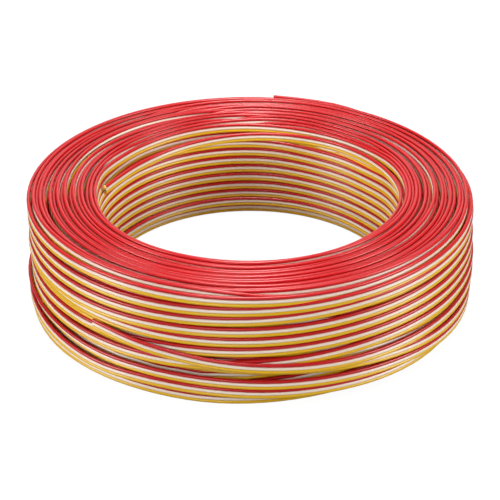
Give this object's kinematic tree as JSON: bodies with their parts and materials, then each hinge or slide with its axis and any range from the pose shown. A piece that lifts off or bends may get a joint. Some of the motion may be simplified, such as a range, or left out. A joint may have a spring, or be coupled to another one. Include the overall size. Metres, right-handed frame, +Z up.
{
  "type": "flat cable coil",
  "caption": "Open ring-shaped coil of flat ribbon cable wound on edge in rows and layers, with red, white and yellow cores bonded side by side, for wiring LED strips.",
  "frame": {"origin": "centre of the eye on the plane that the coil rests on", "axes": "+Z up along the coil's axis, +X to the right and -Y towards the viewer of the picture"},
  "size_m": [0.202, 0.202, 0.0517],
  "materials": {
    "red_insulation": "soft satin PVC",
    "white_insulation": "soft satin PVC, cream white",
    "yellow_insulation": "soft satin PVC, golden yellow",
    "copper": "bared and tinned copper strands"
  },
  "bodies": {
    "root": {"main_length_turns": "red_insulation", "outer_length_turns": "red_insulation", "red_core_ends": "red_insulation", "white_core_ends": "white_insulation", "yellow_core_ends": "yellow_insulation", "bare_conductors": "copper"}
  },
  "joints": []
}
